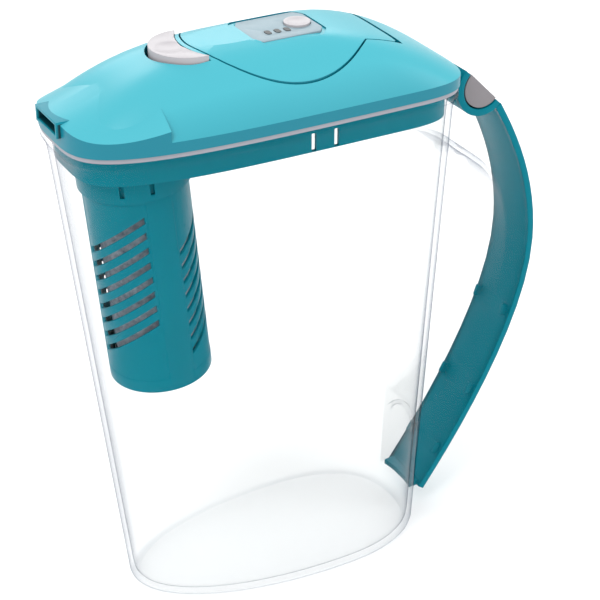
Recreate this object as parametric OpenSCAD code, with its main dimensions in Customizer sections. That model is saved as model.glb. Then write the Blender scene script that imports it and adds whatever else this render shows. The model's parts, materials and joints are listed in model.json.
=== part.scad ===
// Water filter pitcher: clear jug, hinged flip lid, filter cage with its cartridge.
// +X points to the handle, the spout is at -X, and the jug stands on z = 0.

/* [Jug] */
// Height of the rim's top face
rim_z = 249; // [245:0.5:252]
// Thickness of the jug wall
wall = 2.4; // [2:0.1:3]
// Half width of the jug at its base
base_half_w = 43.2; // [41:0.1:45]
// Half width of the jug at its neck
neck_half_w = 41; // [40:0.1:44]
// How far the rim flange stands out from the neck
flange_out = 1.4; // [1.2:0.1:2]

/* [Lid] */
// Height of the top of the dome
dome_z = 284; // [282:0.5:286]
// Thickness of the lid's skin
lid_t = 2.2; // [1.8:0.1:2.4]
// Height of the lower edge of the lid's outer wall
lid_wall_z = 251.3; // [251:0.1:251.6]
// Height of the upper edge of the lid's outer wall
lid_edge_z = 256.6; // [256:0.1:258]
// Gap round the flip door
door_gap = 0.8; // [0.6:0.1:1.2]
// Half width of the pouring mouth
mouth_half_w = 10.5; // [9:0.5:11]

/* [Handle] */
// Width of the handle across the grip
handle_w = 31; // [28:0.5:32]
// Thickness of the grip strap
strap_t = 3.6; // [3:0.1:4.5]
// Radius of the release button's barrel
button_r = 10.4; // [10:0.1:10.8]

/* [Filter] */
// Outer radius of the filter cage
cage_r = 24.3; // [24:0.1:24.5]
// Wall thickness of the filter cage
cage_t = 1.7; // [1.5:0.1:2]
// Lean of the cage from the vertical, in degrees
cage_lean = 4.9; // [4:0.1:6]
// Number of slots in each panel of the cage
slot_count = 8; // [7:1:9]
// Axial distance between slots
slot_pitch = 7.6; // [6:0.05:7.8]

/* [Hidden] */

teal = [0.05, 0.62, 0.70];
light_grey = [0.72, 0.71, 0.72];
clear_tint = [0.85, 0.93, 0.96, 0.35];

// Outline values: front x, rear x, x of the widest place, half width, front and rear roundness
base_line = [-69, 87.8, 30, base_half_w, 2.03, 2.39];
neck_line = [-92.9, 94.8, 50, neck_half_w, 3.9, 4.5];
rim_line = grow(neck_line, flange_out + 0.3);
outline_points = 80;

function grow(line, by) = [line[0] - by, line[1] + by, line[2], line[3] + by, line[4], line[5]];
function mix(a, b, share) = a + (b - a) * share;

// One point of a rounded outline at an angle from +X
function outline_point(line, angle) =
    let (cx = cos(angle), sy = sin(angle), round = cx < 0 ? line[4] : line[5],
        reach = cx < 0 ? line[2] - line[0] : line[1] - line[2])
    [line[2] + sign(cx) * reach * pow(abs(cx), 2 / round),
        line[3] * sign(sy) * pow(abs(sy), 2 / round)];

function outline(line) =
    [for (i = [0:outline_points - 1]) outline_point(line, 360 * (i + 0.5) / outline_points)];

function ring(line, z) = [for (p = outline(line)) [p[0], p[1], z]];

// The jug's wall at a height, grown by a distance: a straight loft from base to neck
function jug_ring(z, by) =
    let (low = outline(grow(base_line, by)), high = outline(grow(neck_line, by)),
        share = z / (rim_z - 3))
    [for (i = [0:outline_points - 1])
        let (p = mix(low[i], high[i], share)) [p[0], p[1], z]];

// A closed solid through a stack of rings, with flat ends
module skin(rings) {
    n = len(rings[0]);
    last = len(rings) - 1;
    points = [for (r = rings) for (p = r) p];
    sides = [for (j = [0:last - 1]) for (i = [0:n - 1])
        [j * n + i, (j + 1) * n + i, (j + 1) * n + (i + 1) % n, j * n + (i + 1) % n]];
    polyhedron(points, concat(sides, [[for (i = [0:n - 1]) i]],
        [[for (i = [n - 1:-1:0]) last * n + i]]), convexity = 6);
}

/* ---- jug ---- */

floor_t = 3;

module pitcher_body() color(clear_tint) {
    skin([jug_ring(0, -4.5), jug_ring(0.5, -2.6), jug_ring(1.8, -1), jug_ring(4.2, 0),
        jug_ring(80, 0), jug_ring(165, 0), jug_ring(rim_z - 9, 0),
        ring(grow(neck_line, 0.5), rim_z - 4), ring(rim_line, rim_z - 3),
        ring(rim_line, rim_z - 0.6), ring(grow(rim_line, -0.6), rim_z),
        ring(grow(neck_line, 0.5 - wall), rim_z), jug_ring(rim_z - 9, -wall),
        jug_ring(165, -wall), jug_ring(80, -wall), jug_ring(7, -wall),
        jug_ring(4.4, -wall - 1), jug_ring(floor_t, -wall - 3.6)]);
    translate([9, -2, floor_t - 0.5]) difference() {
        cylinder(r = 4.2, h = 1.1, $fn = 48);
        translate([0, 0, 0.5]) cylinder(r = 3.1, h = 1, $fn = 48);
    }
}

/* ---- handle ---- */

function bezier(p, t) = pow(1 - t, 3) * p[0] + 3 * t * pow(1 - t, 2) * p[1]
    + 3 * t * t * (1 - t) * p[2] + t * t * t * p[3];
function bezier_path(p, steps) = [for (i = [0:steps]) bezier(p, i / steps)];

// Side curves of the handle from the collar down to the jug's foot, as [x, z]
strap_upper = [[127.2, 225], [141, 202], [152, 176], [152, 147]];
strap_lower = [[152, 147], [152, 104], [118, 48], [91.5, 12]];
inner_upper = [[96, 208.5], [122, 203], [138, 180], [138, 147]];
inner_lower = [[138, 147], [138, 108], [112, 66], [86, 61]];
curve_steps = 11;

function joined_curves(upper, lower) = concat(bezier_path(upper, curve_steps),
    [for (i = [1:curve_steps]) bezier(lower, i / curve_steps)]);
strap_curve = joined_curves(strap_upper, strap_lower);
inner_curve = joined_curves(inner_upper, inner_lower);

// The curve moved sideways; positive is away from the jug
function shifted(path, by) = [for (i = [0:len(path) - 1])
    let (a = path[max(i - 1, 0)], b = path[min(i + 1, len(path) - 1)],
        d = (b - a) / norm(b - a)) path[i] + by * [-d[1], d[0]]];
function reversed(path) = [for (i = [len(path) - 1:-1:0]) path[i]];

// A side profile drawn in x and z, given a width across the handle
module across(width, y = 0) translate([0, y + width / 2, 0])
    rotate([90, 0, 0]) linear_extrude(width) children();

side_wall = 2.4;
barrel = [119.3, 237.4];
seat_r = button_r + 4.2;

module at_barrel() translate([barrel[0], 0, barrel[1]]) children();

// The solid outline of the jug's wall, used to trim what stands against it
module jug_block(by) skin([jug_ring(-3, by), jug_ring(rim_z - 3, by)]);

module handle_side() difference() {
    polygon(concat(strap_curve, [[80, 12], [80, 61]], reversed(inner_curve),
        [[90, 208.5], [90, 238], [110, 238]]));
    translate(barrel) circle(r = seat_r + 0.05, $fn = 96);
}

root_half_w = 12.7;

// Arch that joins the two side walls round the channel's lower mouth, against the jug
module root_arch() intersection() {
    jug_block(2.4);
    translate([60, 0, 0]) rotate([90, 0, 90]) linear_extrude(60) difference() {
        union() {
            translate([-15, 12.4]) square([30, 30]);
            translate([0, 42]) circle(r = 15, $fn = 96);
        }
        translate([-root_half_w - 0.2, 10]) square([2 * root_half_w + 0.4, 32]);
        translate([0, 42]) circle(r = root_half_w + 0.2, $fn = 96);
    }
}

module handle_frame() color(clear_tint) difference() {
    union() {
        root_arch();
        for (side = [-1, 1]) across(side_wall, side * (handle_w - side_wall) / 2) handle_side();
        across(handle_w - 1)
            polygon(concat(inner_curve, reversed(shifted(inner_curve, 2.6))));
        across(handle_w - 1) polygon([[90, 235.4], [90, 238], [105, 238], [105, 235.4]]);
    }
    jug_block(0.06);
    at_barrel() rotate([90, 0, 0])
        cylinder(r = seat_r + 0.05, h = 60, center = true, $fn = 96);
}

module handle_grip() color(teal) {
    difference() {
        across(handle_w)
            polygon(concat(shifted(strap_curve, 0.1), reversed(shifted(strap_curve, strap_t))));
        at_barrel() rotate([90, 0, 0])
            cylinder(r = seat_r + 0.05, h = 60, center = true, $fn = 96);
        jug_block(0.3);
    }
    for (t = [0.3, 0.6, 0.84]) for (side = [-1, 1]) grip_hook(t, side);
    difference() {
        across(2 * root_half_w) polygon([[80, 10.6], [80, 13.6], [93, 14.6], [94.4, 11.6]]);
        jug_block(0.3);
    }
}

// A snap hook on the grip's inner face, just inside one side wall of the frame
module grip_hook(t, side) {
    place = bezier(strap_lower, t);
    along = bezier(strap_lower, t + 0.02) - bezier(strap_lower, t - 0.02);
    translate([place[0], 0, place[1]]) rotate([0, atan2(along[0], along[1]) - 180, 0])
        translate([-3.2, side * (handle_w / 2 - side_wall - 1.3) - 0.9, -3])
            cube([3.4, 1.8, 6]);
}

/* ---- release button at the top of the handle ---- */

slope = 45;
pin_r = 1.5;
pin_depth = 6.2;
seat_gap = 0.9;

module at_pin() at_barrel() rotate([0, slope, 0]) translate([0, 0, -pin_depth]) children();
module barrel_round(r, width) rotate([90, 0, 0]) cylinder(r = r, h = width, center = true, $fn = 96);

// Everything above the barrel's sloping face, lifted by a distance
module above_slope(lift) rotate([0, slope, 0])
    translate([-40, -30, lift]) cube([80, 60, 60]);

module handle_collar() color(teal) difference() {
    union() {
        at_barrel() difference() {
            barrel_round(seat_r, handle_w);
            barrel_round(button_r + seat_gap, handle_w + 2);
            above_slope(0);
        }
        at_barrel() difference() {
            barrel_round(button_r + seat_gap + 0.5, 5);
            above_slope(-pin_depth);
        }
        at_pin() rotate([90, 0, 0]) cylinder(r = 2.8, h = 5, center = true, $fn = 48);
    }
    at_pin() rotate([90, 0, 0]) cylinder(r = pin_r + 0.05, h = 40, center = true, $fn = 48);
    at_barrel() translate([-18, -5, 1.6]) cube([12, 10, 7.6]);
}

module release_button() color(light_grey) difference() {
    at_barrel() barrel_round(button_r, handle_w - 0.6);
    at_barrel() above_slope(0.5);
    at_barrel() rotate([0, slope, 0]) translate([0, 0, 59]) sphere(r = 60, $fn = 120);
    at_barrel() difference() {
        barrel_round(button_r + 1, 12);
        above_slope(-2.7);
    }
    at_pin() rotate([90, 0, 0]) cylinder(r = pin_r, h = 24, center = true, $fn = 48);
}

module release_pin() color("silver") at_pin()
    rotate([90, 0, 0]) cylinder(r = pin_r, h = 24, center = true, $fn = 48);

// A round wire wound along +Z
module coil(r, wire, turns, length) {
    sides = 6;
    steps = ceil(turns * 16);
    rings = [for (i = [0:steps]) let (a = 360 * turns * i / steps)
        [for (k = [0:sides - 1]) let (b = -360 * k / sides)
            [cos(a) * (r + wire / 2 * cos(b)), sin(a) * (r + wire / 2 * cos(b)),
                length * i / steps + wire / 2 * sin(b)]]];
    skin(rings);
}

module release_spring() color("silver") at_pin() rotate([-90, 0, 0])
    translate([0, 0, 3]) coil(2.3, 0.6, 2.5, 2.2);

module release_latch() color(light_grey) {
    difference() {
        translate([100.2, -4, barrel[1] + 3]) cube([10.9, 8, 2.4]);
        at_barrel() barrel_round(button_r + 0.02, 20);
    }
    translate([100.2, -4, barrel[1] + 5.4]) cube([2.2, 8, 1.6]);
}

/* ---- lid ---- */

lid_line = grow(neck_line, flange_out + 0.7);
dome_centre = [-4, 0];
dome_power = 2.5;

// The raised front of the lid: a cylinder leaning up and back, its crest through two points
prow_foot = [-92, 264.2];
prow_head = [-73, 270.4];
prow_r = 64;
prow_lean = atan2(prow_head[1] - prow_foot[1], prow_head[0] - prow_foot[0]);

function prow_z(x, y) = x > -60 || abs(y) > 50 ? 0
    : prow_foot[1] + (x - prow_foot[0]) * tan(prow_lean)
        - (prow_r - sqrt(prow_r * prow_r - y * y)) / cos(prow_lean);

function dome_top(x, y, share, by) = max(
    lid_edge_z + (dome_z - lid_edge_z) * (1 - pow(share, dome_power)), prow_z(x, y)) + by;

// One ring of the dome, at a share of the way out from its centre
function dome_ring(share, by) =
    [for (p = outline(grow(lid_line, by)))
        let (q = mix(dome_centre, p, share))
        [q[0], q[1], dome_top(q[0], q[1], share, share == 1 && by < 0 ? by * 0.6 : by)]];

dome_shares = [1, 0.985, 0.96, 0.93, 0.89, 0.84, 0.78, 0.7, 0.6, 0.45, 0.25];

function dome_rings(by) = [for (share = dome_shares) dome_ring(share, by)];

// A skin that follows the dome between two depths, with its wall carried down between them
module dome_layer(outer, inner, wall_rings = []) {
    inner_down = [for (i = [len(dome_shares) - 1:-1:0]) dome_ring(dome_shares[i], inner)];
    skin(concat(inner_down, wall_rings, dome_rings(outer)));
}

module dome_block(by, bottom) skin(concat([ring(grow(lid_line, by), bottom)], dome_rings(by)));

// Plan of the flip door, grown by a distance
door_centre = 14.5;
door_reach = [44, 34];
lobe_x = 66;
lobe_half_w = 21;
module door_plan(by) {
    polygon([for (i = [0:71]) let (a = i * 5)
        [door_centre + (door_reach[0] + by) * cos(a), (door_reach[1] + by) * sin(a)]]);
    polygon([[44, -lobe_half_w - by], [lobe_x - 1.5 + by, -lobe_half_w - by],
        [lobe_x + by, 1.5 - lobe_half_w - by], [lobe_x + by, lobe_half_w + by - 1.5],
        [lobe_x - 1.5 + by, lobe_half_w + by], [44, lobe_half_w + by]]);
}

// Plan of the thumb button: a round pad hollowed by the door's front edge
thumb_x = -29;
thumb_r = 17.4;
thumb_travel = 1;
thumb_top = 282.6;
module thumb_pad(by, stretch) {
    translate([thumb_x, 0]) circle(r = thumb_r + by, $fn = 96);
    if (stretch > 0) {
        translate([thumb_x - stretch, 0]) circle(r = thumb_r + by, $fn = 96);
        translate([thumb_x - stretch, -thumb_r - by]) square([stretch, 2 * (thumb_r + by)]);
    }
}
module thumb_plan(by, stretch) difference() {
    thumb_pad(by, stretch);
    door_plan(door_gap + 2.2 - by);
}

mouth_z = [257.4, 262.4];
channel_skin = 1.2;
module mouth_block(grow_by, x0, x1) translate([x0, -mouth_half_w - grow_by, mouth_z[0] - grow_by])
    cube([x1 - x0, 2 * (mouth_half_w + grow_by), mouth_z[1] - mouth_z[0] + 2 * grow_by]);

module prism(z0, z1) translate([0, 0, z0]) linear_extrude(z1 - z0) children();

module lid_shell() color(teal) {
    difference() {
        dome_layer(0, -lid_t,
            [ring(grow(lid_line, -lid_t), lid_wall_z), ring(lid_line, lid_wall_z)]);
        prism(262, 290) door_plan(door_gap);
        translate([60, -lobe_half_w - door_gap, 262])
            cube([lobe_x + 2.6 - 60, 2 * (lobe_half_w + door_gap), 28]);
        at_hinge() cylinder(r = 6.6, h = 2 * (lobe_half_w + door_gap), center = true, $fn = 96);
        prism(262, 290) thumb_plan(0.45, thumb_travel + 0.2);
        mouth_block(channel_skin + 0.02, -110, -70);
    }
    translate([96.8, -5, 243.6]) cube([2.4, 10, 9]);
    translate([95.4, -5, lid_wall_z]) cube([3, 10, 1.6]);
}

skirt_line = grow(neck_line, -wall - 1.1);
skirt_z = 236;
deck_z = 251.3;
fill_half = [36, 26];

module fill_plan(by) polygon([for (i = [0:71]) let (a = i * 5)
    [16 + (fill_half[0] + by) * cos(a), (fill_half[1] + by) * sin(a)]]);

module lid_deck() color(teal) difference() {
    union() {
        prism(deck_z, deck_z + 2) polygon(outline(grow(lid_line, -lid_t - 0.05)));
        prism(skirt_z, deck_z + 0.5) difference() {
            polygon(outline(skirt_line));
            polygon(outline(grow(skirt_line, -1.8)));
        }
    }
    prism(deck_z - 1, deck_z + 4) fill_plan(0);
    in_cage() translate([0, 0, -10]) cylinder(r = socket_r + 0.05, h = 40, $fn = 96);
    for (x = [13.7, 25.3]) for (side = [-1, 1])
        translate([x - 1.2, side > 0 ? 34 : -44, skirt_z + 0.5]) cube([2.4, 10, 8.5]);
}

hinge = [61.6, 269];
module at_hinge() translate([hinge[0], 0, hinge[1]]) rotate([90, 0, 0]) children();

// Fill throat under the door, with the ledge round it and the thumb button's pocket
module door_well() color(teal) {
    difference() {
        intersection() {
            dome_block(-lid_t - 0.35, 252);
            union() {
                prism(deck_z + 2.02, 290) difference() {
                    door_plan(-0.4);
                    door_plan(-2.6);
                }
                prism(267.8, 290) difference() {
                    thumb_plan(1.8, thumb_travel + 0.2);
                    thumb_plan(0.5, thumb_travel + 0.2);
                }
                prism(266.4, 268) difference() {
                    thumb_pad(1.8, thumb_travel + 0.2);
                    door_plan(-2.6);
                }
            }
        }
        translate([50, -25, 262]) cube([30, 50, 30]);
        translate([-35, -3.2, 268.9]) cube([9.5, 6.4, 8.7]);
    }
    for (side = [-1, 1]) difference() {
        union() {
            translate([hinge[0] - 2.5, side * 18.5 - 1.5, 253.32]) cube([3.4, 3, hinge[1] - 253.32]);
            at_hinge() translate([0, 0, side * 18.5])
                cylinder(r = 2.5, h = 3, center = true, $fn = 48);
        }
        at_hinge() cylinder(r = pin_r, h = 60, center = true, $fn = 48);
    }
}

module lid_gasket() color(light_grey) prism(rim_z + 0.15, lid_wall_z - 0.02) difference() {
    polygon(outline(grow(neck_line, flange_out + 0.1)));
    polygon(outline(grow(skirt_line, 0.05)));
}

module spout_channel() color(teal) difference() {
    union() {
        mouth_block(channel_skin, -96.8, -70);
        translate([-62, 0, deck_z + 2.02]) cylinder(r = 17, h = 10.4, $fn = 96);
        mouth_block(channel_skin, -75, -60);
    }
    mouth_block(0, -100, -60);
    translate([-62, 0, deck_z]) cylinder(r = 15.4, h = 11.6, $fn = 96);
    translate([-96.9, 0, mouth_z[0] - 30.3]) rotate([0, 90, 0])
        cylinder(r = 30, h = 3, $fn = 96);
}

/* ---- flip door ---- */

recess = [-4.4, 35.2, 16.4];
plate_top = 282;

module slot_plan(x0, x1, half_w) intersection() {
    translate([x0, -half_w]) square([x1 - x0, 2 * half_w]);
    translate([(x0 + x1) / 2, 0]) circle(r = (x1 - x0) / 2 + 2.2, $fn = 96);
}

module flip_door() color(teal) {
    difference() {
        intersection() {
            dome_layer(0, -2);
            prism(262, 290) door_plan(0);
        }
        prism(270, 290) slot_plan(recess[0], recess[1], recess[2]);
        for (side = [-1, 1]) at_hinge() translate([0, 0, side * 18.5])
            cylinder(r = 2.9, h = 3.9, center = true, $fn = 48);
    }
    for (side = [-1, 1]) difference() {
        union() {
            at_hinge() translate([0, 0, side * 12.5]) cylinder(r = 3.2, h = 8, center = true, $fn = 48);
            intersection() {
                dome_block(-1, 262);
                translate([hinge[0] - 3.2, side * 12.5 - 4, hinge[1]]) cube([6.4, 8, 12]);
            }
        }
        at_hinge() cylinder(r = pin_r + 0.05, h = 60, center = true, $fn = 48);
    }
    translate([-24.6, -3, 271]) cube([2.4, 6, 10.6]);
    translate([-26.4, -3, 271]) cube([2.4, 6, 1.8]);
}

module door_seal() color(light_grey) difference() {
    intersection() {
        dome_layer(-2.05, -5);
        prism(262, 290) difference() {
            door_plan(-3.4);
            door_plan(-5);
        }
    }
    translate([48, -30, 262]) cube([30, 60, 30]);
    translate([-24.9, -3.6, 262]) cube([3.3, 7.2, 30]);
}

module door_hinge_pin() color("silver") at_hinge()
    cylinder(r = pin_r, h = 40, center = true, $fn = 48);

module door_spring() color("silver") at_hinge() translate([0, 0, -6.5]) coil(2.5, 0.8, 6.5, 13);

module thumb_button() color(light_grey) {
    difference() {
        prism(thumb_top - 8, thumb_top) thumb_plan(0, 0);
        prism(thumb_top - 9, thumb_top - 2) thumb_plan(-2, 0);
        translate([thumb_x - 9, 0, thumb_top + 23]) sphere(r = 24, $fn = 96);
    }
    translate([thumb_x - 6, -2.6, 271.5]) cube([6, 5.2, 5]);
}

module thumb_spring() color("silver") translate([-41, 0, 268.4])
    coil(3, 0.7, 5.5, 9.6);

/* ---- filter indicator in the door ---- */

module tapered(x0, x1, half_w, z0, z1, spread) translate([(x0 + x1) / 2, 0, z0])
    linear_extrude(z1 - z0, scale = [1 + 2 * spread / (x1 - x0), 1 + spread / half_w])
        translate([-(x0 + x1) / 2, 0]) slot_plan(x0, x1, half_w);

module indicator_housing() color(teal) difference() {
    union() {
        intersection() {
            prism(plate_top - 11.7, 290) slot_plan(recess[0] - 1.4, recess[1] + 1.4, recess[2] + 1.4);
            dome_block(-2.05, 262);
        }
        intersection() {
            prism(plate_top - 4, 290) slot_plan(recess[0] + 0.1, recess[1] - 0.1, recess[2] - 0.1);
            dome_block(-0.5, 262);
        }
    }
    tapered(-1.2, 32.6, 13.1, plate_top - 0.1, plate_top + 2.4, 1.6);
    prism(plate_top - 8.9, plate_top) slot_plan(-1.6, 33.5, 13.6);
    translate([14, 0, plate_top - 16]) cylinder(r = 11.6, h = 12, $fn = 96);
}

button_place = [25.8, 0.3];
led_places = [[8.5, -4.4], [13.2, -4.6], [17.9, -4.9]];

module led_plan(place, by) translate(place) {
    for (side = [-1, 1]) translate([0, side * 0.9]) circle(r = 1.35 + by, $fn = 32);
    square([2 * (1.35 + by), 1.8], center = true);
}

module indicator_plate() color([0.9, 0.92, 0.95]) difference() {
    prism(plate_top - 1.5, plate_top) slot_plan(-1.5, 33.4, 13.5);
    translate([button_place[0], button_place[1], plate_top - 5]) cylinder(r = 6.3, h = 10, $fn = 72);
    for (place = led_places) prism(plate_top - 5, plate_top + 5) led_plan(place, 0.05);
}

module indicator_button() color(light_grey) translate([button_place[0], button_place[1], 0]) {
    difference() {
        translate([0, 0, plate_top - 1.9]) cylinder(r = 6.1, h = 2.8, $fn = 72);
        translate([0, 0, plate_top + 18.1]) sphere(r = 18, $fn = 96);
    }
}

module led_lens(place) color([0.2, 0.9, 0.4]) prism(plate_top - 2.9, plate_top + 0.2) led_plan(place, 0);
module led_lens_left() led_lens(led_places[0]);
module led_lens_middle() led_lens(led_places[1]);
module led_lens_right() led_lens(led_places[2]);

module circuit_board() color("green") {
    prism(plate_top - 4.4, plate_top - 3.2) slot_plan(-1.4, 32.2, 13.4);
    translate([button_place[0] - 2, button_place[1] - 2, plate_top - 3.2]) cube([4, 4, 0.35]);
}

module coin_cell() color("silver") translate([14, 0, plate_top - 9.5])
    cylinder(r = 10, h = 3.2, $fn = 96);

module battery_cover() color(teal) difference() {
    union() {
        translate([14, 0, plate_top - 11.5]) cylinder(r = 11.5, h = 1.7, $fn = 96);
        translate([14, 0, plate_top - 12.5]) cylinder(r = 9.5, h = 1.1, $fn = 96);
    }
    translate([14 - 6, -0.8, plate_top - 12.6]) cube([12, 1.6, 1.2]);
}

/* ---- filter cage and cartridge, in the cage's own leaning frame ---- */

cage_top = [-58.6, 240];
socket_r = 26;
cage_len = 116.6;
module in_cage() translate([cage_top[0], 0, cage_top[1]]) rotate([0, -cage_lean, 0]) children();

module cage_socket() color(teal) in_cage() difference() {
    translate([0, 0, -15.4]) cylinder(r = socket_r, h = 25.6, $fn = 96);
    translate([0, 0, -15.5]) cylinder(r = cage_r + 0.4, h = 24.4, $fn = 96);
    translate([0, 0, 0]) cylinder(r = 13, h = 20, $fn = 96);
    for (a = [-125, -95, 55, 85]) rotate([0, 0, a]) translate([20, -1, -12.4]) cube([8, 2, 5.6]);
}

panel_angle = 100;
slot_w = 2.6;
slot_rise = 34;
window_z = [-108.6, -18.8];
rib_angle = 32;
module filter_cage() color(teal) in_cage() difference() {
    rotate([0, 0, rib_angle]) translate([0, 0, -cage_len])
        cylinder(r = cage_r, h = cage_len + 8, $fn = 96);
    rotate([0, 0, rib_angle]) translate([0, 0, -cage_len + 2])
        cylinder(r = cage_r - cage_t, h = cage_len + 10, $fn = 96);
    for (panel = [0:2]) rotate([0, 0, -148 + 120 * panel]) {
        slot_panel();
        panel_relief();
    }
    for (a = [45:90:315]) rotate([0, 0, a]) translate([10, 0, -cage_len - 1])
        cylinder(r = 2.5, h = 4, $fn = 24);
}

module wedge(half, z0, z1) translate([0, 0, z0]) linear_extrude(z1 - z0)
    polygon(concat([[12, 0]], [for (a = [-half:half / 5:half]) [32 * cos(a), 32 * sin(a)]]));

// A panel's wall is a little thinner than the ribs beside it
module panel_relief() difference() {
    wedge(panel_angle / 2 + 2, window_z[0] - 1.5, window_z[1] + 1.5);
    rotate([0, 0, 180]) translate([0, 0, -120]) difference() {
        cylinder(r = cage_r - 0.2, h = 120, $fn = 96);
        translate([0, 0, -1]) cylinder(r = cage_r - cage_t + 0.2, h = 122, $fn = 96);
    }
}

// One panel: a column of slots that climb round it from one rib to the next
module slot_panel() intersection() {
    for (row = [0:slot_count - 1]) translate([0, 0, -36 - row * slot_pitch])
        rotate([slot_rise, 0, 0]) translate([20, 0, 0]) cube([24, 60, slot_w], center = true);
    wedge(panel_angle / 2, -118, 0);
}

module lathe(profile) rotate_extrude($fn = 96) polygon(profile);

module cartridge_cap() color(light_grey) in_cage() difference() {
    lathe([[0, -9], [19, -9], [21.2, -7.6], [21.2, -4.9], [19.4, -4.9], [19.4, -2.3],
        [21.2, -2.3], [21.2, 0.4], [17, 1], [17, 6], [15.6, 7.6], [0, 7.6]]);
    translate([0, 0, -4]) cylinder(r = 13, h = 20, $fn = 96);
    translate([0, 0, -10]) cylinder(r = 6, h = 20, $fn = 48);
}

module cartridge_o_ring() color([0.1, 0.1, 0.1]) in_cage() rotate_extrude($fn = 96)
    translate([20.75, -3.6]) circle(r = 1.2, $fn = 32);

module felt_sleeve() color([0.7, 0.72, 0.75]) in_cage() difference() {
    translate([0, 0, -100]) cylinder(r = 19.6, h = 91, $fn = 96);
    translate([0, 0, -101]) cylinder(r = 17.1, h = 93, $fn = 96);
}

module carbon_core() color([0.12, 0.12, 0.13]) in_cage() difference() {
    translate([0, 0, -100]) cylinder(r = 17, h = 90.9, $fn = 96);
    translate([0, 0, -95]) cylinder(r = 6, h = 100, $fn = 48);
}

module cartridge_foot() color(light_grey) in_cage()
    lathe([[0, -100.1], [18, -100.1], [18, -104.2], [20, -104.2], [20, -108.6], [18.6, -110],
        [0, -110]]);

module foot_band() color([0.1, 0.1, 0.1]) in_cage()
    lathe([[18.05, -100.1], [20.2, -100.1], [20.2, -104.1], [18.05, -104.1]]);

module inlet_insert() color([0.55, 0.75, 0.9]) in_cage() difference() {
    translate([0, 0, -3.9]) cylinder(r = 12.9, h = 9, $fn = 96);
    for (a = [0:60:300]) rotate([0, 0, a]) translate([8, 0, -5]) cylinder(r = 2.6, h = 12, $fn = 32);
    translate([0, 0, -0.5]) cylinder(r = 5, h = 12, $fn = 48);
}

pitcher_body();
handle_frame();
handle_grip();
handle_collar();
release_button();
release_pin();
release_spring();
release_latch();
lid_shell();
lid_deck();
door_well();
lid_gasket();
spout_channel();
flip_door();
door_seal();
door_hinge_pin();
door_spring();
thumb_button();
thumb_spring();
indicator_housing();
indicator_plate();
indicator_button();
led_lens_left();
led_lens_middle();
led_lens_right();
circuit_board();
coin_cell();
battery_cover();
cage_socket();
filter_cage();
cartridge_cap();
cartridge_o_ring();
felt_sleeve();
carbon_core();
cartridge_foot();
foot_band();
inlet_insert();
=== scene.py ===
import json
import math
import bmesh
import bpy
from mathutils import Matrix, Vector


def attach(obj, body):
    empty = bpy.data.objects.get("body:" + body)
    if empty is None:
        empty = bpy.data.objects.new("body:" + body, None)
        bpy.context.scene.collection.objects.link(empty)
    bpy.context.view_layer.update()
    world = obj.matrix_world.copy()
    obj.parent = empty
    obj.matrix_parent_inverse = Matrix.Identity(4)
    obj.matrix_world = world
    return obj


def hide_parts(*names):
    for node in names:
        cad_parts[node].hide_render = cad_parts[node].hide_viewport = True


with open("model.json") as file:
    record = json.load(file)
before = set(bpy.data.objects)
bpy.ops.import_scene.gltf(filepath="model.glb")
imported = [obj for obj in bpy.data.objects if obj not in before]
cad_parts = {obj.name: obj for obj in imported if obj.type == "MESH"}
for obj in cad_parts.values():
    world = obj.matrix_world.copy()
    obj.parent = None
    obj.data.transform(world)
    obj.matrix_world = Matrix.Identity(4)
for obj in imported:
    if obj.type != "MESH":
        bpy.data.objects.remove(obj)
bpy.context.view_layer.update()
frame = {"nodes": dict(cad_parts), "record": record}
mm = 0.001
roundSteps = 96    # sides of the cylinders round the hinge
beyond = {"front": -130, "side": 60, "below": 240, "above": 300}    # mm, past the lid shell


class Wire:
    # a shader socket that takes part in ordinary sums
    def __init__(self, kit, socket):
        self.kit = kit
        self.socket = socket

    def maths(self, operation, other):
        return self.kit.node("ShaderNodeMath", {"operation": operation}, {0: self, 1: other})

    def __add__(self, other):
        return self.maths("ADD", other)

    def __mul__(self, other):
        return self.maths("MULTIPLY", other)


socketNames = {"color": "Base Color", "roughness": "Roughness", "metallic": "Metallic",
               "specular": "Specular IOR Level", "normal": "Normal"}


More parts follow.
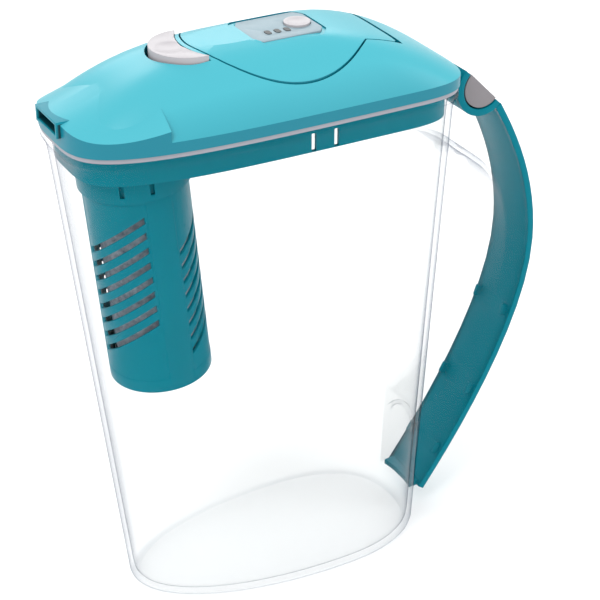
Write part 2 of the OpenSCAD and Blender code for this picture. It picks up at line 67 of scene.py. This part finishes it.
class ShaderKit:
    # one material, with short names for the nodes that the looks use
    def __init__(self, name):
        self.material = bpy.data.materials.new(name)
        self.material.use_nodes = True
        self.tree = self.material.node_tree
        self.shader = self.tree.nodes["Principled BSDF"]
        self.output = self.tree.nodes["Material Output"]
        self.position = self.node("ShaderNodeTexCoord", {}, {}, "Object")

    def node(self, kind, settings, inputs, output=0):
        made = self.tree.nodes.new(kind)
        for key, value in settings.items():
            setattr(made, key, value)
        for key, value in inputs.items():
            self.plug(value, made.inputs[key])
        return Wire(self, made.outputs[output])

    def plug(self, value, socket):
        if isinstance(value, Wire):
            self.tree.links.new(value.socket, socket)
        else:
            socket.default_value = value

    def noise(self, scale, detail, rough):
        return self.node("ShaderNodeTexNoise", {}, {"Vector": self.position, "Scale": scale,
                                                    "Detail": detail, "Roughness": rough})

    def remap(self, value, span, result):
        return self.node("ShaderNodeMapRange", {}, {"Value": value, "From Min": span[0],
                                                    "From Max": span[1], "To Min": result[0],
                                                    "To Max": result[1]})

    def upward(self):
        facing = self.node("ShaderNodeTexCoord", {}, {}, "Normal")
        return self.node("ShaderNodeSeparateXYZ", {}, {"Vector": facing}, "Z")

    def along(self, axis):
        return self.node("ShaderNodeSeparateXYZ", {}, {"Vector": self.position}, axis)

    def mixColor(self, share, first, second):
        # sockets 0, 6 and 7 are the share and the two colours, and output 2 is the mixed colour
        return self.node("ShaderNodeMix", {"data_type": "RGBA"}, {0: share, 6: first, 7: second}, 2)

    def colorRamp(self, value, stops):
        wire = self.node("ShaderNodeValToRGB", {}, {"Fac": value})
        ramp = wire.socket.node.color_ramp
        ramp.elements[0].position, ramp.elements[0].color = stops[0]
        ramp.elements[1].position, ramp.elements[1].color = stops[-1]
        for place, color in stops[1:-1]:
            ramp.elements.new(place).color = color
        return wire

    def bump(self, height, strength, distance):
        return self.node("ShaderNodeBump", {}, {"Height": height, "Strength": strength,
                                                "Distance": distance})

    def set(self, **values):
        for key, value in values.items():
            self.plug(value, self.shader.inputs[socketNames[key]])
        return self.material


def shade(color, factor):
    return tuple(min(1.0, c * factor) for c in color[:3]) + (1.0,)


# what all moulded plastics share: a faint cloud in the colour and a fine grain in the surface
moulding = {"cloudDetail": 2.0, "cloudRough": 0.5, "grainDetail": 3.0, "grainRough": 0.6,
            "noiseSpan": (0.3, 0.7), "tints": (0.96, 1.04), "roughnessSwing": 0.04,
            "grainDepth": 0.00005}


def mouldedPlastic(name, look):
    kit = ShaderKit(name)
    cloud = kit.noise(look["cloudScale"], moulding["cloudDetail"], moulding["cloudRough"])
    grain = kit.noise(look["grainScale"], moulding["grainDetail"], moulding["grainRough"])
    darker, paler = [shade(look["color"], tint) for tint in moulding["tints"]]
    color = kit.mixColor(kit.remap(cloud, moulding["noiseSpan"], (0.0, 1.0)), darker, paler)
    if "side" in look:    # painted shade: steep faces get the darker side colour, upward faces keep the lit colour
        litShare = kit.remap(kit.upward(), look["slope"], (0.0, 1.0))
        color = kit.mixColor(litShare, shade(look["side"], 1.0), color)
    if "mouthShade" in look:    # painted shade: darker further into the mouth, but not on the lip above it
        inward = kit.remap(kit.along("X"), look["depth"], (0.0, 1.0))
        below = kit.remap(kit.along("Z"), look["lip"], (1.0, 0.0))
        color = kit.mixColor(inward * below, color, shade(look["mouthShade"], 1.0))
    swing = moulding["roughnessSwing"]
    roughness = kit.remap(grain, moulding["noiseSpan"],
                          (look["roughness"] - swing, look["roughness"] + swing))
    return kit.set(color=color, roughness=roughness, specular=look["specular"],
                   normal=kit.bump(grain, look["bump"], moulding["grainDepth"]))


# depth and lip are places along X and Z in metres, where the mouth's shadow begins and ends
plasticLooks = {
    # tealPlastic's color is the lit top colour, made paler for a painted sheen of the overhead light,
    # and its side colour is painted shade on steep faces, blended in by how steep the face is
    "tealPlastic": {"color": (0.055, 0.40, 0.48), "side": (0.001, 0.19, 0.26),
                    "slope": (0.25, 0.7), "roughness": 0.34, "bump": 0.08,
                    "grainScale": 1800, "cloudScale": 9, "specular": 0.35},
    # painted shade: a darker copy of the teal plastic, standing in for the shade on the parts it is
    # given
    "tealShaded": {"color": (0.001, 0.17, 0.225), "roughness": 0.3, "bump": 0.03,
                  "grainScale": 900, "cloudScale": 12, "specular": 0.06},
    # painted shade: the deep colour is the shadow painted inside the spout's mouth
    "spoutTeal": {"color": (0.003, 0.22, 0.29), "mouthShade": (0.001, 0.03, 0.04),
                  "depth": (-0.0964, -0.0955), "lip": (0.26245, 0.26265), "roughness": 0.4,
                  "bump": 0.03, "grainScale": 900, "cloudScale": 12, "specular": 0.2},
    "rockerPlastic": {"color": (0.215, 0.20, 0.212), "roughness": 0.36, "bump": 0.1,
                      "grainScale": 1800, "cloudScale": 14, "specular": 0.4},
    "greyPlastic": {"color": (0.42, 0.40, 0.42), "roughness": 0.36, "bump": 0.1,
                    "grainScale": 1800, "cloudScale": 14, "specular": 0.4},
    "greyRubber": {"color": (0.33, 0.33, 0.37), "roughness": 0.5, "bump": 0.12,
                   "grainScale": 1500, "cloudScale": 20, "specular": 0.3},
    "platePlastic": {"color": (0.225, 0.315, 0.36), "roughness": 0.42, "bump": 0.03,
                     "grainScale": 1500, "cloudScale": 30, "specular": 0.3},
    "lensPlastic": {"color": (0.006, 0.012, 0.014), "roughness": 0.3, "bump": 0.0,
                    "grainScale": 800, "cloudScale": 60, "specular": 0.2},
    "greenBoard": {"color": (0.02, 0.16, 0.07), "roughness": 0.4, "bump": 0.1,
                   "grainScale": 900, "cloudScale": 80, "specular": 0.4},
    "blackRubber": {"color": (0.012, 0.012, 0.014), "roughness": 0.42, "bump": 0.1,
                    "grainScale": 1200, "cloudScale": 40, "specular": 0.4},
    "carbonBlock": {"color": (0.02, 0.02, 0.022), "roughness": 0.85, "bump": 0.8,
                    "grainScale": 700, "cloudScale": 60, "specular": 0.2},
    "bluePlastic": {"color": (0.22, 0.55, 0.84), "roughness": 0.3, "bump": 0.05,
                    "grainScale": 1200, "cloudScale": 30, "specular": 0.4},
}

clearLook = {"face": (0.990, 0.994, 0.994, 1.0), "edge": (0.20, 0.23, 0.31, 1.0), "blend": 0.5,
             "gloss": 0.04, "shine": 0.3, "sheen": 0.002}


def clearPlastic():
    # see-through wall that darkens where it is seen edge on, with a mirror-like skin
    kit = ShaderKit("clearPlastic")
    slant = kit.node("ShaderNodeLayerWeight", {}, {"Blend": clearLook["blend"]}, 1)
    steep = slant * slant
    face = kit.node("ShaderNodeBsdfTransparent", {}, {"Color": clearLook["face"]})
    edge = kit.node("ShaderNodeBsdfTransparent", {}, {"Color": clearLook["edge"]})
    gloss = kit.node("ShaderNodeBsdfGlossy", {}, {"Roughness": clearLook["gloss"]})
    wall = kit.node("ShaderNodeMixShader", {}, {0: steep * steep * steep, 1: face, 2: edge})
    skin = steep * steep * clearLook["shine"] + clearLook["sheen"]
    whole = kit.node("ShaderNodeMixShader", {}, {0: skin, 1: wall, 2: gloss})
    kit.plug(whole, kit.output.inputs["Surface"])
    return kit.material


steelLook = {"color": (0.62, 0.62, 0.64, 1.0), "streakScale": 300, "streakDetail": 4.0,
             "streakRough": 0.5, "streakSpan": (0.3, 0.7), "roughness": (0.22, 0.4)}


def springSteel():
    kit = ShaderKit("springSteel")
    streak = kit.noise(steelLook["streakScale"], steelLook["streakDetail"], steelLook["streakRough"])
    return kit.set(color=steelLook["color"], metallic=1.0,
                   roughness=kit.remap(streak, steelLook["streakSpan"], steelLook["roughness"]))


feltLook = {"fibreScale": 420, "fibreDetail": 6.0, "fibreRough": 0.75, "fibreShare": 0.55,
            "fleckScale": 170, "fleckDetail": 3.0, "fleckRough": 0.7, "fleckShare": 0.45,
            "stops": [(0.30, (0.10, 0.12, 0.16, 1.0)), (0.46, (0.32, 0.36, 0.42, 1.0)),
                      (0.60, (0.56, 0.60, 0.66, 1.0)), (0.74, (0.80, 0.83, 0.88, 1.0))],
            "roughness": 0.95, "specular": 0.15, "bump": 0.9, "fibreDepth": 0.0004}


def greyFelt():
    kit = ShaderKit("greyFelt")
    fibre = kit.noise(feltLook["fibreScale"], feltLook["fibreDetail"], feltLook["fibreRough"])
    fleck = kit.noise(feltLook["fleckScale"], feltLook["fleckDetail"], feltLook["fleckRough"])
    mottle = fibre * feltLook["fibreShare"] + fleck * feltLook["fleckShare"]
    return kit.set(color=kit.colorRamp(mottle, feltLook["stops"]), roughness=feltLook["roughness"],
                   specular=feltLook["specular"],
                   normal=kit.bump(fibre, feltLook["bump"], feltLook["fibreDepth"]))


materials = {name: mouldedPlastic(name, look) for name, look in plasticLooks.items()}
materials["clearPlastic"] = clearPlastic()
materials["springSteel"] = springSteel()
materials["greyFelt"] = greyFelt()
print("materials made:", len(materials))


def loose(mesh, name):
    data = bpy.data.meshes.new(name)
    mesh.to_mesh(data)
    mesh.free()
    piece = bpy.data.objects.new(name, data)
    bpy.context.scene.collection.objects.link(piece)
    return piece


view = {"place": (-0.3275, -0.6413, 0.5576), "turn": (60.19, 0.0, -28.95), "lens": 102.9,
        "sensor": 36, "nearest": 0.01}
camera = bpy.data.objects.new("camera", bpy.data.cameras.new("camera"))
camera.location = view["place"]
camera.rotation_euler = [math.radians(a) for a in view["turn"]]
camera.data.lens = view["lens"]
camera.data.sensor_width = view["sensor"]
camera.data.clip_start = view["nearest"]
bpy.context.scene.collection.objects.link(camera)
bpy.context.scene.camera = camera

studio = {"worldColor": (1.0, 1.0, 1.0, 1.0), "worldStrength": 0.95,
          "floorColor": (0.93, 0.93, 0.93, 1.0), "floorSize": 6.0, "floorRoughness": 0.7,
          "floorSpecular": 0.2, "aim": (0.0, 0.0, 0.13)}
world = bpy.data.worlds.new("studio")
world.use_nodes = True
world.node_tree.nodes["Background"].inputs["Color"].default_value = studio["worldColor"]
world.node_tree.nodes["Background"].inputs["Strength"].default_value = studio["worldStrength"]
bpy.context.scene.world = world
bpy.context.scene.view_settings.view_transform = "Standard"

floorMesh = bmesh.new()
bmesh.ops.create_grid(floorMesh, x_segments=1, y_segments=1, size=studio["floorSize"])
floor = loose(floorMesh, "floor")
floor.data.materials.append(ShaderKit("floorPaper").set(
    color=studio["floorColor"], roughness=studio["floorRoughness"],
    specular=studio["floorSpecular"]))

lamps = {"key": {"place": (-0.9, -0.5, 1.5), "size": (0.7, 0.9), "power": 12.0},
         "rear": {"place": (0.5, 1.3, 1.1), "size": (1.2, 0.8), "power": 9.0},
         "side": {"place": (1.2, -0.7, 0.8), "size": (0.5, 1.0), "power": 5.0}}


def softBox(name, lamp):
    light = bpy.data.lights.new(name, "AREA")
    light.shape = "RECTANGLE"
    light.size, light.size_y = lamp["size"]
    light.energy = lamp["power"]
    stand = bpy.data.objects.new(name, light)
    stand.location = lamp["place"]
    gaze = Vector(studio["aim"]) - Vector(lamp["place"])
    stand.rotation_euler = gaze.to_track_quat("-Z", "Y").to_euler()
    bpy.context.scene.collection.objects.link(stand)


for name, lamp in lamps.items():
    softBox(name, lamp)
print("camera and light set")


def smoothPiece(piece, angle):
    # smooth faces, with a hard edge wherever two faces meet at more than the angle
    work = bmesh.new()
    work.from_mesh(piece.data)
    for face in work.faces:
        face.smooth = True
    for edge in work.edges:
        edge.smooth = edge.is_manifold and edge.calc_face_angle(0.0) < math.radians(angle)
    work.to_mesh(piece.data)
    work.free()


def newPiece(name, mesh, look, body, nodes, smoothAngle):
    piece = loose(mesh, name)
    piece.data.materials.append(materials[look])
    smoothPiece(piece, smoothAngle)
    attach(piece, body)
    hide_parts(*nodes)


def addRing(mesh, points):
    verts = [mesh.verts.new(Vector(p) * mm) for p in points]
    return [mesh.edges.new((verts[i], verts[(i + 1) % len(verts)])) for i in range(len(verts))]


def loft(mesh, rings):
    # skins the rings in order and closes both ends; neighbouring rings are never at one level
    loops = [addRing(mesh, ring) for ring in rings]
    for low, high in zip(loops, loops[1:]):
        bmesh.ops.bridge_loops(mesh, edges=low + high)
    for loop in (loops[0], loops[-1]):
        bmesh.ops.contextual_create(mesh, geom=loop)
    bmesh.ops.recalc_face_normals(mesh, faces=mesh.faces)
    return mesh


def prism(points, z0, z1):
    return loft(bmesh.new(), [[(x, y, z0) for x, y in points], [(x, y, z1) for x, y in points]])


def carve(mesh, steps):
    # cuts, joins or trims a mesh with others, and gives the result as a mesh again
    body = loose(mesh, "carved")
    for i, (operation, tool) in enumerate(steps):
        cutter = loose(tool, "cutter%d" % i)
        modifier = body.modifiers.new("cut", "BOOLEAN")
        modifier.operation = operation
        modifier.solver = "EXACT"
        modifier.object = cutter
        done = bpy.data.meshes.new_from_object(
            body.evaluated_get(bpy.context.evaluated_depsgraph_get()))
        body.modifiers.clear()
        body.data = done
        bpy.data.objects.remove(cutter)
    result = bmesh.new()
    result.from_mesh(body.data)
    bpy.data.objects.remove(body)
    return result


def block(x0, x1, halfWidth, z0, z1, y=0):
    mesh = bmesh.new()
    bmesh.ops.create_cube(mesh, size=1.0)
    bmesh.ops.scale(mesh, vec=(Vector((x1 - x0, 2 * halfWidth, z1 - z0)) * mm), verts=mesh.verts)
    bmesh.ops.translate(mesh, vec=Vector(((x0 + x1) / 2, y, (z0 + z1) / 2)) * mm, verts=mesh.verts)
    return mesh


def cylinder(radius, length, segments, turn, middle):
    mesh = bmesh.new()
    bmesh.ops.create_cone(mesh, cap_ends=True, segments=segments, radius1=radius * mm,
                          radius2=radius * mm, depth=length * mm)
    bmesh.ops.rotate(mesh, cent=(0, 0, 0), matrix=turn, verts=mesh.verts)
    bmesh.ops.translate(mesh, vec=Vector(middle) * mm, verts=mesh.verts)
    return mesh


def crossTube(radius, width, middle):
    # a solid cylinder lying across the jug
    return cylinder(radius, width, roundSteps, Matrix.Rotation(math.radians(90), 3, "X"), middle)


# jug: rings are (height, growth) pairs in millimetres, and an outline's powers set how square
# its front and rear are
jug = {
    "base": {"front": -69.0, "rear": 87.8, "centre": 30.0, "halfWidth": 43.2,
             "frontPower": 2.03, "rearPower": 2.39},
    "neck": {"front": -92.9, "rear": 94.8, "centre": 50.0, "halfWidth": 41.0,
             "frontPower": 3.9, "rearPower": 4.5},
    "points": 240, "neckZ": 246.0, "wall": 2.4, "flangeOut": 1.4, "flangeEase": 0.3,
    "foot": [(0, -4.5), (0.25, -3.2), (0.7, -2.1), (1.4, -1.2), (2.6, -0.4), (4.2, 0)],
    "outside": [(20, 0), (60, 0), (100, 0), (140, 0), (180, 0), (215, 0), (236, 0), (240, 0.02)],
    "throat": (244.6, 0.35),
    "flange": [(245.7, -0.5), (246.2, 0), (248.2, 0), (248.8, -0.3), (249, -0.8)],
    "innerLip": (248.8, 0.5),
    "inside": [(240, 0), (215, 0), (180, 0), (140, 0), (100, 0), (60, 0), (20, 0), (9, 0),
               (5.6, -0.3), (4.1, -1.2), (3.3, -2.6), (3, -4.6)],
    "smoothAngle": 50}


def grow(line, by):
    return {**line, "front": line["front"] - by, "rear": line["rear"] + by,
            "halfWidth": line["halfWidth"] + by}


def outlinePoint(line, angle):
    c, s = math.cos(angle), math.sin(angle)
    power = line["frontPower"] if c < 0 else line["rearPower"]
    reach = line["centre"] - line["front"] if c < 0 else line["rear"] - line["centre"]
    return (line["centre"] + math.copysign(reach * abs(c) ** (2 / power), c),
            math.copysign(line["halfWidth"] * abs(s) ** (2 / power), s))


def evenAngles(count):
    return [2 * math.pi * (i + 0.5) / count for i in range(count)]


def flatRing(line, z):
    return [(*outlinePoint(line, angle), z) for angle in evenAngles(jug["points"])]


def jugRing(z, by):
    # the wall's outline changes evenly from the base's to the neck's
    share = z / jug["neckZ"]
    low, high = flatRing(grow(jug["base"], by), z), flatRing(grow(jug["neck"], by), z)
    return [(a[0] + (b[0] - a[0]) * share, a[1] + (b[1] - a[1]) * share, z)
            for a, b in zip(low, high)]


def makeJug():
    # up the outside, over the flange and down the inside
    rimLine = grow(jug["neck"], jug["flangeOut"] + jug["flangeEase"])
    throatZ, throatOut = jug["throat"]
    lipZ, lipOut = jug["innerLip"]
    rings = [jugRing(z, by) for z, by in jug["foot"] + jug["outside"]]
    rings += [flatRing(grow(jug["neck"], throatOut), throatZ)]
    rings += [flatRing(grow(rimLine, by), z) for z, by in jug["flange"]]
    rings += [flatRing(grow(jug["neck"], lipOut - jug["wall"]), lipZ)]
    rings += [jugRing(z, by - jug["wall"]) for z, by in jug["inside"]]
    newPiece("jugShell", loft(bmesh.new(), rings), "clearPlastic", "jug",
             ["pitcher_body"], jug["smoothAngle"])
    print("jug done")


lid = {"domeZ": 284.0, "skin": 2.2, "wallZ": 251.3, "edgeZ": 256.6, "domeCentre": -4.0,
       "domePower": 2.5, "overhang": 0.7, "cutZ": (262, 290), "smoothAngle": 9,
       "rearCatch": (96.2, 99.2, 5, 243.6, 254.4),    # x from and to, half width, z from and to
       "domeShares": [1.0, 0.996, 0.99, 0.98, 0.965, 0.945, 0.92, 0.89, 0.86, 0.82, 0.78, 0.73,
                      0.68, 0.62, 0.55, 0.45, 0.35, 0.25]}    # closer together towards the edge
prow = {"foot": (-92.0, 264.2), "head": (-73.0, 270.4), "radius": 64.0, "length": 120,
        "segments": 360, "rearX": -56, "topZ": 285}
mouth = {"x": (-110, -70), "halfWidth": 10.5, "z": (257.4, 262.4), "skin": 1.2, "gap": 0.02}
lidLine = grow(jug["neck"], jug["flangeOut"] + lid["overhang"])


def domeRing(share, by):
    ring = []
    for x, y, _ in flatRing(grow(lidLine, by), 0):
        rise = 1 - share ** lid["domePower"]
        ring.append((lid["domeCentre"] + (x - lid["domeCentre"]) * share, y * share,
                     lid["edgeZ"] + (lid["domeZ"] - lid["edgeZ"]) * rise + by))
    return ring


def domeSolid(by, bottom):
    rings = [flatRing(grow(lidLine, by), bottom)]
    return loft(bmesh.new(), rings + [domeRing(share, by) for share in lid["domeShares"]])


def prowSolid():
    # the full height front of the lid, topped by the leaning cylinder
    footX, footZ = prow["foot"]
    headX, headZ = prow["head"]
    lean = math.atan2(headZ - footZ, headX - footX)
    upright = prism([(x, y) for x, y, _ in flatRing(lidLine, 0)], lid["wallZ"], prow["topZ"])
    down = Vector((math.sin(lean), 0, -math.cos(lean))) * prow["radius"]
    barrel = cylinder(prow["radius"], prow["length"], prow["segments"],
                      Matrix.Rotation(math.radians(90) - lean, 3, "Y"),
                      Vector((footX, 0, footZ)) + down)
    front = block(beyond["front"], prow["rearX"], beyond["side"], beyond["below"], beyond["above"])
    return carve(upright, [("INTERSECT", barrel), ("INTERSECT", front)])


def mouthOpening():
    by = mouth["skin"] + mouth["gap"]
    low, high = mouth["z"]
    return block(*mouth["x"], mouth["halfWidth"] + by, low - by, high + by)


door = {"centre": 14.5, "reach": (44.0, 34.0), "lobeFrom": 44, "lobeX": 66.0,
        "lobeHalfWidth": 21.0, "corner": 1.5, "points": 180, "gap": 0.8, "skin": 2.0,
        "catchStem": (-24.6, -22.2, 3, 271, 281.6), "catchNose": (-26.4, -24.0, 3, 271, 272.8),
        "smoothAngle": 12}
recess = {"x": (-4.4, 35.2), "halfWidth": 16.4, "bulge": 2.2, "z": (268, 290), "points": 144,
          "closest": 0.05}
hinge = {"x": 61.6, "z": 269.0, "sweep": 6.6, "rearGap": 2.6, "holeFrom": 60,
         "barrelY": 12.5, "barrelRadius": 3.2, "barrelWidth": 8, "bore": 1.55, "boreWidth": 10,
         "webTop": 272.8, "earY": 18.5, "earRadius": 2.9, "earWidth": 3.9}


def doorPlan(by):
    # ellipse with the hinge lobe at its rear
    points = []
    for angle in evenAngles(door["points"]):
        x = door["centre"] + (door["reach"][0] + by) * math.cos(angle)
        y = (door["reach"][1] + by) * math.sin(angle)
        if x <= door["lobeFrom"] or abs(y) >= door["lobeHalfWidth"] + by:
            points.append((x, y))
    upper = [p for p in points if p[1] > 0]
    lower = [p for p in points if p[1] <= 0]
    w, x, corner = door["lobeHalfWidth"] + by, door["lobeX"] + by, door["corner"]
    return [(x - corner, -w), (x, corner - w), (x, w - corner), (x - corner, w)] + upper + lower


thumb = {"x": -29.0, "radius": 17.4, "travel": 1.2, "gap": 0.45, "steps": 96, "innerX": -10,
         "doorRim": 1.75, "trimZ": (250, 295)}


def thumbHole():
    # round at its front, straight inside, and trimmed by the door's outline
    radius = thumb["radius"] + thumb["gap"]
    points = []
    for i in range(thumb["steps"] + 1):
        a = math.radians(90 + 180 * i / thumb["steps"])
        points.append((thumb["x"] - thumb["travel"] + radius * math.cos(a), radius * math.sin(a)))
    points += [(thumb["innerX"], -radius), (thumb["innerX"], radius)]
    rim = prism(doorPlan(door["gap"] + thumb["doorRim"]), *thumb["trimZ"])
    return carve(prism(points, *lid["cutZ"]), [("DIFFERENCE", rim)])


def makeLid():
    side = door["lobeHalfWidth"] + door["gap"]
    lobeRear = door["lobeX"] + hinge["rearGap"]
    outside = carve(domeSolid(0, lid["wallZ"]), [("UNION", prowSolid())])
    mesh = carve(outside, [
        ("DIFFERENCE", domeSolid(-lid["skin"], beyond["below"])),
        ("DIFFERENCE", prism(doorPlan(door["gap"]), *lid["cutZ"])),
        ("DIFFERENCE", block(hinge["holeFrom"], lobeRear, side, *lid["cutZ"])),
        ("DIFFERENCE", crossTube(hinge["sweep"], 2 * side, (hinge["x"], 0, hinge["z"]))),
        ("DIFFERENCE", thumbHole()),
        ("DIFFERENCE", mouthOpening()),
        ("UNION", block(*lid["rearCatch"]))])
    newPiece("lidShell", mesh, "tealPlastic", "lid", ["lid_shell"],
             lid["smoothAngle"])
    print("lid done")


def recessPlan():
    # a circle squared off by the four sides of the indicator's recess
    (x0, x1), w = recess["x"], recess["halfWidth"]
    reach = (x1 - x0) / 2 + recess["bulge"]
    points = []
    for i in range(recess["points"]):
        a = 2 * math.pi * i / recess["points"]
        point = (max(x0, min(x1, (x0 + x1) / 2 + reach * math.cos(a))),
                 max(-w, min(w, reach * math.sin(a))))
        if not points or math.dist(point, points[-1]) > recess["closest"]:
            points.append(point)
    return points


def knuckles():
    # two bored barrels under the door's rear lobe, each on a short web
    steps = []
    radius = hinge["barrelRadius"]
    for y in (-hinge["barrelY"], hinge["barrelY"]):
        place = (hinge["x"], y, hinge["z"])
        web = block(hinge["x"] - radius, hinge["x"] + radius, hinge["barrelWidth"] / 2,
                    hinge["z"], hinge["webTop"], y)
        steps += [("UNION", web), ("UNION", crossTube(radius, hinge["barrelWidth"], place)),
                  ("DIFFERENCE", crossTube(hinge["bore"], hinge["boreWidth"], place))]
    return steps


def earPockets():
    # room for the lid's two hinge ears
    return [("DIFFERENCE", crossTube(hinge["earRadius"], hinge["earWidth"], (hinge["x"], y, hinge["z"])))
            for y in (-hinge["earY"], hinge["earY"])]


def makeDoor():
    mesh = carve(domeSolid(0, lid["wallZ"]), [
        ("DIFFERENCE", domeSolid(-door["skin"], beyond["below"])),
        ("INTERSECT", prism(doorPlan(0), *lid["cutZ"])),
        ("DIFFERENCE", prism(recessPlan(), *recess["z"]))]
        + earPockets() + [
        ("UNION", block(*door["catchStem"])),
        ("UNION", block(*door["catchNose"]))]
        + knuckles())
    newPiece("doorSkin", mesh, "tealPlastic", "door", ["flip_door"],
             door["smoothAngle"])
    print("door done")


makeJug()
makeLid()
makeDoor()

# the other pieces keep the solid model's shape and get a finish, some with softer edges (mm)
slotLooks = {"clear_plastic": "clearPlastic", "teal_plastic": "tealPlastic",
             "grey_plastic": "greyPlastic", "grey_rubber": "greyRubber", "steel": "springSteel",
             "pale_plastic": "platePlastic", "lens_plastic": "lensPlastic",
             "green_board": "greenBoard", "black_rubber": "blackRubber", "grey_felt": "greyFelt",
             "carbon": "carbonBlock", "blue_plastic": "bluePlastic"}
# the cage, socket, deck, grip and collar get the darker teal copy, which is painted shade
repainted = {"filter_cage": "tealShaded", "cage_socket": "tealShaded", "handle_grip": "tealShaded",
             "lid_deck": "tealShaded", "handle_collar": "tealShaded", "spout_channel": "spoutTeal",
             "release_button": "rockerPlastic"}
softened = {"thumb_button": 0.5, "release_button": 0.5, "handle_collar": 0.4, "handle_grip": 0.5,
            "indicator_button": 0.25, "indicator_plate": 0.12, "spout_channel": 0.25,
            "cage_socket": 0.25, "filter_cage": 0.2, "release_latch": 0.3}
trims = {"hardAngle": 35.0, "bevelSteps": 2, "weldGap": 0.000002}
replaced = {"pitcher_body", "lid_shell", "flip_door"}


def dress(name, look):
    piece = frame["nodes"][name]
    piece.data.materials.clear()
    piece.data.materials.append(materials[look])
    for polygon in piece.data.polygons:
        polygon.use_smooth = True
    weld = piece.modifiers.new("weld", "WELD")
    weld.merge_threshold = trims["weldGap"]
    if name in softened:
        edge = piece.modifiers.new("bevel", "BEVEL")
        edge.width = softened[name] * mm
        edge.segments = trims["bevelSteps"]
        edge.limit_method = "ANGLE"
        edge.angle_limit = math.radians(trims["hardAngle"])
    split = piece.modifiers.new("split", "EDGE_SPLIT")
    split.split_angle = math.radians(trims["hardAngle"])


for part in frame["record"]["subparts"]:
    node = part["node"]
    if node not in replaced:
        dress(node, repainted.get(node, slotLooks[part["material_slot"]]))
print("solids dressed")
